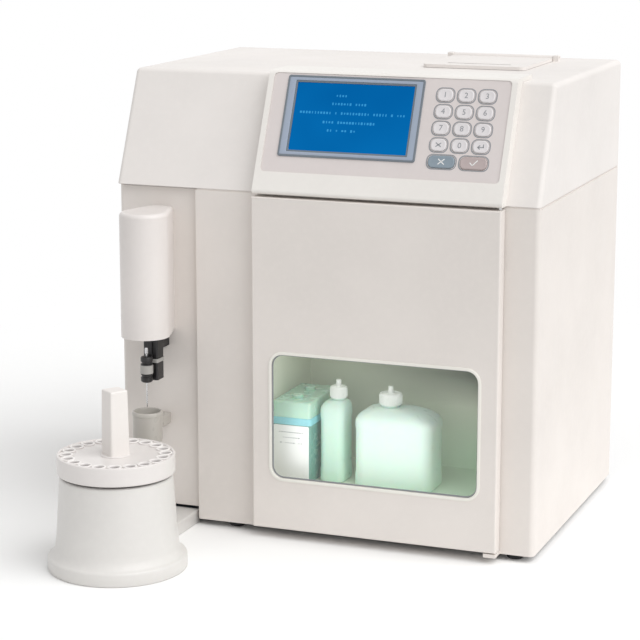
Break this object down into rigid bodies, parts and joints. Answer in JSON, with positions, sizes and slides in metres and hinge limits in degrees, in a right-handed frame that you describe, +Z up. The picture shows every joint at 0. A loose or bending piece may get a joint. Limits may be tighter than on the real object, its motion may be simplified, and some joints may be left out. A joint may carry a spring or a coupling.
{
  "type": "electrolyte analyzer",
  "caption": "Bench blood analyzer with a sloped console, a hinged reagent door with a window, a sliding sample needle and a turning sample tray.",
  "frame": {"origin": "on the table, under the middle of the whole object's box", "axes": "+X to the right as the operator faces it, +Y to the back, +Z up"},
  "size_m": [0.4, 0.48, 0.424],
  "materials": {
    "housing_plastic": "fine moulded texture",
    "cover_plastic": "fine moulded texture",
    "drum_plastic": "satin",
    "panel_overlay": "printed film",
    "bezel_grey": "satin",
    "screen_blue": "lit display",
    "key_light": "moulded",
    "key_blue": "moulded",
    "key_brown": "moulded",
    "window_acrylic": "clear",
    "liner_plastic": "moulded",
    "bottle_plastic": "translucent",
    "cap_plastic": "moulded",
    "pack_plastic": "printed card and plastic",
    "black_plastic": "moulded",
    "grey_plastic": "moulded",
    "cup_plastic": "translucent",
    "steel": "brushed",
    "zinc": "zinc plated sheet",
    "rubber": "matt",
    "tube_silicone": "translucent",
    "circuit_green": "solder mask",
    "paper": "thermal paper",
    "electrode_body": "amber plastic"
  },
  "bodies": {
    "body": {"base_plate": "zinc", "bottle_caps": "cap_plastic", "compartment_liner": "liner_plastic", "display_panel": "panel_overlay", "door_hinge_pins": "steel", "electrodes": "electrode_body", "fan_housing": "black_plastic", "feet": "rubber", "key_board": "circuit_green", "large_bottle": "bottle_plastic", "lcd_bezel": "bezel_grey", "lcd_screen": "screen_blue", "lower_housing": "housing_plastic", "main_board": "circuit_green", "pinch_valve": "steel", "power_inlet": "black_plastic", "power_supply": "zinc", "printer_frame": "black_plastic", "pump_body": "black_plastic", "pump_tube": "tube_silicone", "reagent_pack": "pack_plastic", "rear_panel": "zinc", "sampler_base": "drum_plastic", "sampler_hood": "drum_plastic", "screws": "steel", "sensor_block": "grey_plastic", "small_bottle": "bottle_plastic", "top_cover": "cover_plastic", "tray_motor": "zinc", "wash_cup": "grey_plastic"},
    "door": {"front_door": "housing_plastic", "door_window": "window_acrylic"},
    "printer_lid": {"printer_lid": "cover_plastic"},
    "platen": {"platen_roller": "rubber"},
    "paper": {"paper_roll": "paper"},
    "clamp": {"sensor_clamp": "steel"},
    "rotor": {"pump_rotor": "steel", "pump_rollers": "cap_plastic"},
    "fan": {"fan_rotor": "black_plastic"},
    "rocker": {"power_switch": "black_plastic"},
    "arm": {"probe_arm": "black_plastic"},
    "probe": {"needle_carrier": "black_plastic", "needle": "steel"},
    "carousel": {"tray": "drum_plastic", "tray_spindle": "drum_plastic", "sample_cups": "cup_plastic"},
    "key_1": {"key_1": "key_light"},
    "key_2": {"key_2": "key_light"},
    "key_3": {"key_3": "key_light"},
    "key_4": {"key_4": "key_light"},
    "key_5": {"key_5": "key_light"},
    "key_6": {"key_6": "key_light"},
    "key_7": {"key_7": "key_light"},
    "key_8": {"key_8": "key_light"},
    "key_9": {"key_9": "key_light"},
    "key_clear": {"key_clear": "key_light"},
    "key_0": {"key_0": "key_light"},
    "key_enter": {"key_enter": "key_light"},
    "key_no": {"key_no": "key_blue"},
    "key_yes": {"key_yes": "key_brown"}
  },
  "joints": [
    {"name": "door_hinge", "type": "hinge", "parent": "body", "child": "door", "pos_m": [0.1665, -0.052, 0.162], "axis": [0, 0, 1], "range_deg": [0, 110]},
    {"name": "lid_hinge", "type": "hinge", "parent": "body", "child": "printer_lid", "pos_m": [0.095, 0.196, 0.421], "axis": [-1, 0, 0], "range_deg": [0, 100]},
    {"name": "paper_turn", "type": "hinge", "parent": "body", "child": "paper", "pos_m": [0.095, 0.157, 0.3778], "axis": [1, 0, 0], "continuous": true},
    {"name": "platen_turn", "type": "hinge", "parent": "body", "child": "platen", "pos_m": [0.095, 0.118, 0.406], "axis": [1, 0, 0], "continuous": true},
    {"name": "clamp_swing", "type": "hinge", "parent": "body", "child": "clamp", "pos_m": [0.005, -0.0155, 0.252], "axis": [-1, 0, 0], "range_deg": [0, 80]},
    {"name": "pump_turn", "type": "hinge", "parent": "body", "child": "rotor", "pos_m": [0.115, -0.0175, 0.24], "axis": [0, 1, 0], "continuous": true},
    {"name": "fan_turn", "type": "hinge", "parent": "body", "child": "fan", "pos_m": [0.1, 0.2225, 0.2], "axis": [0, 1, 0], "continuous": true},
    {"name": "rocker_tilt", "type": "hinge", "parent": "body", "child": "rocker", "pos_m": [-0.114, 0.232, 0.06], "axis": [-1, 0, 0], "range_deg": [0, 16]},
    {"name": "arm_reach", "type": "slide", "parent": "body", "child": "arm", "axis": [0, -1, 0], "range_m": [0, 0.06295]},
    {"name": "needle_drop", "type": "slide", "parent": "arm", "child": "probe", "axis": [0, 0, -1], "range_m": [0, 0.026]},
    {"name": "carousel_turn", "type": "hinge", "parent": "body", "child": "carousel", "pos_m": [-0.139, -0.179, 0.101], "axis": [0, 0, 1], "continuous": true},
    {"name": "key_1_press", "type": "slide", "parent": "body", "child": "key_1", "axis": [0, 0.9149, -0.4036], "range_m": [0, 0.001], "stiffness_N_per_m": 250},
    {"name": "key_2_press", "type": "slide", "parent": "body", "child": "key_2", "axis": [0, 0.9149, -0.4036], "range_m": [0, 0.001], "stiffness_N_per_m": 250},
    {"name": "key_3_press", "type": "slide", "parent": "body", "child": "key_3", "axis": [0, 0.9149, -0.4036], "range_m": [0, 0.001], "stiffness_N_per_m": 250},
    {"name": "key_4_press", "type": "slide", "parent": "body", "child": "key_4", "axis": [0, 0.9149, -0.4036], "range_m": [0, 0.001], "stiffness_N_per_m": 250},
    {"name": "key_5_press", "type": "slide", "parent": "body", "child": "key_5", "axis": [0, 0.9149, -0.4036], "range_m": [0, 0.001], "stiffness_N_per_m": 250},
    {"name": "key_6_press", "type": "slide", "parent": "body", "child": "key_6", "axis": [0, 0.9149, -0.4036], "range_m": [0, 0.001], "stiffness_N_per_m": 250},
    {"name": "key_7_press", "type": "slide", "parent": "body", "child": "key_7", "axis": [0, 0.9149, -0.4036], "range_m": [0, 0.001], "stiffness_N_per_m": 250},
    {"name": "key_8_press", "type": "slide", "parent": "body", "child": "key_8", "axis": [0, 0.9149, -0.4036], "range_m": [0, 0.001], "stiffness_N_per_m": 250},
    {"name": "key_9_press", "type": "slide", "parent": "body", "child": "key_9", "axis": [0, 0.9149, -0.4036], "range_m": [0, 0.001], "stiffness_N_per_m": 250},
    {"name": "key_clear_press", "type": "slide", "parent": "body", "child": "key_clear", "axis": [0, 0.9149, -0.4036], "range_m": [0, 0.001], "stiffness_N_per_m": 250},
    {"name": "key_0_press", "type": "slide", "parent": "body", "child": "key_0", "axis": [0, 0.9149, -0.4036], "range_m": [0, 0.001], "stiffness_N_per_m": 250},
    {"name": "key_enter_press", "type": "slide", "parent": "body", "child": "key_enter", "axis": [0, 0.9149, -0.4036], "range_m": [0, 0.001], "stiffness_N_per_m": 250},
    {"name": "key_no_press", "type": "slide", "parent": "body", "child": "key_no", "axis": [0, 0.9149, -0.4036], "range_m": [0, 0.001], "stiffness_N_per_m": 250},
    {"name": "key_yes_press", "type": "slide", "parent": "body", "child": "key_yes", "axis": [0, 0.9149, -0.4036], "range_m": [0, 0.001], "stiffness_N_per_m": 250}
  ],
  "couplings": [
    {"joint": "platen_turn", "follows": "paper_turn", "ratio": 4}
  ]
}
